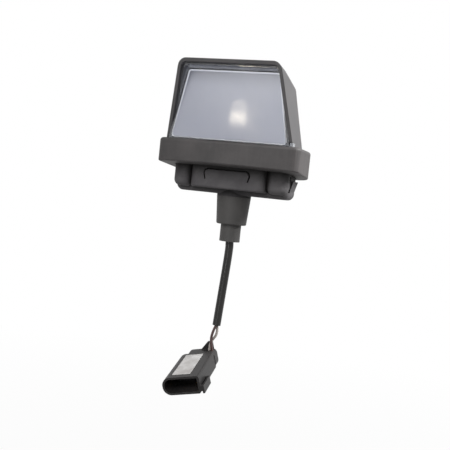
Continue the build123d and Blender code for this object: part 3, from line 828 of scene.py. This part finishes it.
@dataclass
class WindowBead:
    """The polished bead that the mould leaves round the frosted window, swept along its outline."""

    width_mm: float = 0.9
    corner_mm: float = 1.8
    corner_steps: int = 6
    facets: int = 12
    side_slope: float = 0.19
    tint: str = "#F4F6FC"
    glow: float = 0.26
    name: str = "window_bead"

    def group(self) -> Tree:
        """Build the node group.

        Returns:
            A group that sweeps a round section along a trapezium with rounded corners.
        """
        numbers = ("Foot Width", "Head Width", "Height", "Corner", "Bead Radius")
        tree = new_group(self.name, numbers, ("Finish",))
        given = add_node(tree, "NodeGroupInput").outputs
        outline = add_node(
            tree, "GeometryNodeCurvePrimitiveQuadrilateral", {"mode": "TRAPEZOID", "Offset": 0.0},
            {
                "Height": given["Height"], "Bottom Width": given["Foot Width"],
                "Top Width": given["Head Width"],
            },
        )
        rounded = add_node(
            tree, "GeometryNodeFilletCurve", {"mode": "POLY", "Count": self.corner_steps},
            {"Curve": outline.outputs["Curve"], "Radius": given["Corner"]},
        )
        upright = add_node(
            tree, "GeometryNodeTransform", {"Rotation": (math.pi / 2, 0.0, 0.0)},
            {"Geometry": rounded.outputs["Curve"]},
        )
        run = upright.outputs["Geometry"]
        bead = swept(tree, run, given["Bead Radius"], self.facets, given["Finish"], capped=False)
        add_node(tree, "NodeGroupOutput", None, {"Geometry": bead})
        return tree

    def build(self) -> None:
        """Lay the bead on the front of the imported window."""
        low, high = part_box("lens_window")
        width = high.x - low.x
        height = high.z - low.z
        # The bead's finish is a painted glow, from none at the window's foot to full at its head
        edge = PaintedGlowEdge(
            "painted_glow_edge", self.tint, self.tint, roughness=0.15, transmission=0.7,
            ior=POLYCARBONATE_IOR, glow=self.glow, low_m=low.z, high_m=high.z,
        )
        values = {
            "Foot Width": width, "Head Width": width - 2 * self.side_slope * height, "Height": height,
            "Corner": self.corner_mm / 1000, "Bead Radius": self.width_mm / 2000,
            "Finish": edge.material(),
        }
        place = Vector(((low.x + high.x) / 2, low.y, (low.z + high.z) / 2))
        bead = grown(self.name, self.group(), values, place)
        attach(bead, BODY)


@dataclass
class LensFoot:
    """The small clear foot on the right of the lens that shows in the notch of the hood's rim."""

    width_mm: float = 1.9
    front_mm: float = -23.0
    back_mm: float = -17.8
    height_mm: float = 2.4
    edge_mm: float = 0.3
    edge_steps: int = 3
    gap_mm: float = 0.02
    name: str = "lens_foot"

    def build(self) -> None:
        """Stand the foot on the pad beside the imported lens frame."""
        low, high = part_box("lens_frame")
        gap = self.gap_mm / 1000
        size = metres((self.width_mm, self.back_mm - self.front_mm, self.height_mm))
        middle = Vector((high.x + gap, self.front_mm / 1000, low.z + gap)) + size / 2
        shape = bmesh.new()
        bmesh.ops.create_cube(
            shape, size=1.0, matrix=Matrix.Translation(middle) @ Matrix.Diagonal((*size, 1.0)),
        )
        bmesh.ops.bevel(
            shape, geom=shape.edges[:], offset=self.edge_mm / 1000, segments=self.edge_steps, profile=0.5,
            affect="EDGES",
        )
        mesh = bpy.data.meshes.new(self.name)
        shape.to_mesh(mesh)
        shape.free()
        mesh.materials.append(FOOT.material())
        LOG.info("made %s with %d faces", self.name, len(mesh.polygons))
        foot = put(self.name, mesh)
        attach(foot, BODY)


@dataclass
class Plug:
    """The two-way connector at the cable's end, shown as its solids."""

    nodes: dict[str, bpy.types.Object]

    def dress(self) -> list[bpy.types.Object]:
        """Give each solid of the connector its finish.

        Returns:
            The connector's solids.
        """
        finishes: dict[str, Finish] = {
            "connector_shell": CONNECTOR, "connector_cover": CONNECTOR, "terminal_live": BRASS,
            "terminal_ground": BRASS, "interface_seal": SEAL, "connector_label": LABEL,
        }
        return dress_nodes(self.nodes, finishes)


def tube(name: str, points_mm: tuple[Point, ...], diameter_mm: float, finish: Finish) -> bpy.types.Object:
    """Make a round tube along one smooth spline.

    Args:
        name: The piece's name.
        points_mm: The spline's control points, in millimetres.
        diameter_mm: The tube's diameter.
        finish: The tube's finish.

    Returns:
        The curve's object, linked to the scene.
    """
    curve = bpy.data.curves.new(name, "CURVE")
    curve.dimensions = "3D"
    curve.bevel_depth = diameter_mm / 2000
    curve.bevel_resolution = 6
    curve.resolution_u = 24
    curve.use_fill_caps = True
    spline = curve.splines.new("NURBS")
    spline.points.add(len(points_mm) - 1)
    for control, point in zip(spline.points, points_mm):
        control.co = (*metres(point), 1.0)
    spline.order_u = 3
    spline.use_endpoint_u = True
    curve.materials.append(finish.material())
    LOG.info("made %s", name)
    return put(name, curve)


@dataclass
class CableRun:
    """The short jacketed cable and the two conductors that leave its end."""

    diameter_mm: float = 5.2
    wire_mm: float = 1.7
    length_mm: float = 67.5
    exit_mm: Point = (0.0, 0.0, -44.3)
    route_mm: tuple[Point, ...] = (
        (0.0, 0.0, -30.9), (0.1, 0.0, -44.6), (0.6, 0.0, -48.4), (-0.5, -1.5, -73.0), (-1.7, -3.1, -98.2),
    )
    live_mm: tuple[Point, ...] = (
        (-1.78, -1.77, -98.54), (-0.4, -1.4, -103.6), (-6.3, -0.6, -111.0), (-5.39, 0.04, -118.93),
    )
    ground_mm: tuple[Point, ...] = (
        (-1.66, -4.46, -98.36), (-3.6, -4.5, -103.2), (-4.6, -2.6, -110.2), (-3.15, 0.18, -118.39),
    )

    def conductor(self, side: Side) -> bpy.types.Object:
        """Make one conductor.

        Args:
            side: Which conductor to make.

        Returns:
            The conductor's piece, which stands for its solid.
        """
        route, finish, slot = {
            Side.LIVE: (self.live_mm, GREY, "grey_insulation"),
            Side.GROUND: (self.ground_mm, BROWN, "brown_insulation"),
        }[side]
        piece = tube(f"conductor_{side.value}", route, self.wire_mm, finish)
        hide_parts(f"wire_{side.value}")
        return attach(piece, BODY)

    def build(self, plug_pieces: list[bpy.types.Object]) -> None:
        """Args:
            plug_pieces: The connector's solids. Not used.
        """
        cable = tube("cable", self.route_mm, self.diameter_mm, JACKET)
        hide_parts("cable_sheath")
        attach(cable, BODY)
        conductors = [self.conductor(side) for side in Side]


@dataclass
class PhotoCamera:
    """The camera at the photograph's place."""

    eye_mm: Point = (135.57, -414.52, -13.34)
    azimuth_deg: float = 18.61
    elevation_deg: float = 2.75
    roll_deg: float = 5.96
    focal_mm: float = 54.97
    name: str = "photo_camera"

    def build(self) -> None:
        """Make the camera and set it as the scene's own."""
        turn, rise, roll = (math.radians(a) for a in (self.azimuth_deg, self.elevation_deg, self.roll_deg))
        back = Vector((math.sin(turn) * math.cos(rise), -math.cos(turn) * math.cos(rise), math.sin(rise)))
        right = Vector((math.cos(turn), math.sin(turn), 0.0))
        up = back.cross(right)
        across = math.cos(roll) * right + math.sin(roll) * up
        upright = math.cos(roll) * up - math.sin(roll) * right
        data = bpy.data.cameras.new(self.name)
        data.lens = self.focal_mm
        data.sensor_width = 36.0
        data.clip_start = 0.01
        camera = put(self.name, data)
        aim = Matrix((across, upright, back)).transposed().to_4x4()
        camera.matrix_world = Matrix.Translation(metres(self.eye_mm)) @ aim
        bpy.context.scene.camera = camera


@dataclass(frozen=True)
class SoftBox:
    """One soft area lamp, aimed at the object."""

    name: str
    place_m: Point
    aim_m: Point
    size_m: float
    power_w: float

    def build(self) -> None:
        """Make the lamp."""
        data = bpy.data.lights.new(self.name, "AREA")
        data.shape = "SQUARE"
        data.size = self.size_m
        data.energy = self.power_w
        lamp = put(self.name, data)
        lamp.location = self.place_m
        lamp.rotation_mode = "QUATERNION"
        lamp.rotation_quaternion = (Vector(self.aim_m) - Vector(self.place_m)).to_track_quat("-Z", "Y")


@dataclass
class Studio:
    """White seamless floor, white surroundings and soft lamps."""

    floor_m: float = -0.36
    floor_size_m: float = 12.0
    ambient_low: float = 0.12
    ambient_high: float = 0.7
    # The upward part of a direction, over which the fill rises from low to high
    ambient_rise: Range = (0.0, 0.9)
    lamps: tuple[SoftBox, ...] = (
        SoftBox("key_right", (0.95, 0.25, 0.8), (0.0, 0.0, -0.02), 0.6, 32.0),
        SoftBox("fill_front", (-0.1, -1.1, 0.6), (0.0, 0.0, -0.04), 0.8, 12.0),
        SoftBox("strip_front", (-0.15, -1.1, -0.1), (0.0, 0.0, -0.07), 0.14, 0.8),
    )

    def floor(self) -> None:
        """Lay the floor."""
        half = self.floor_size_m / 2
        outline = [(-half, -half), (half, -half), (half, half), (-half, half)]
        mesh = bpy.data.meshes.new("studio_floor")
        mesh.from_pydata([(x, y, self.floor_m) for x, y in outline], [], [(0, 1, 2, 3)])
        mesh.materials.append(PAPER.material())
        put("studio_floor", mesh)

    def surroundings(self) -> None:
        """Make the world white to the camera and in clear or shiny pieces, and else a fill from above."""
        world = bpy.data.worlds.new("white_surroundings")
        world.use_nodes = True
        tree = world.node_tree
        tree.nodes.clear()
        upward = part_of(tree, add_node(tree, "ShaderNodeTexCoord").outputs["Generated"], "Z")
        fill = mapped(tree, upward, self.ambient_rise, (self.ambient_low, self.ambient_high))
        strength = add_node(
            tree, "ShaderNodeMapRange", {"To Max": 1.0}, {"Value": white_rays(tree), "To Min": fill},
        )
        links = {"Strength": strength.outputs["Result"]}
        sky = add_node(tree, "ShaderNodeBackground", {"Color": WHITE}, links)
        add_node(tree, "ShaderNodeOutputWorld", None, {"Surface": sky.outputs["Background"]})
        bpy.context.scene.world = world

    def build(self) -> None:
        """Make the floor, the surroundings and the lamps."""
        self.floor()
        self.surroundings()
        for lamp in self.lamps:
            lamp.build()
        bpy.context.scene.view_settings.view_transform = "Standard"


def main() -> None:
    """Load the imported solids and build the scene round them."""
    logging.basicConfig(level=logging.INFO, format="%(name)s: %(message)s")
    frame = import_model()
    LampHead(frame["nodes"]).dress()
    plug_pieces = Plug(frame["nodes"]).dress()
    CableRun().build(plug_pieces)
    Studio().build()
    PhotoCamera().build()


if __name__ == "__main__":
    main()
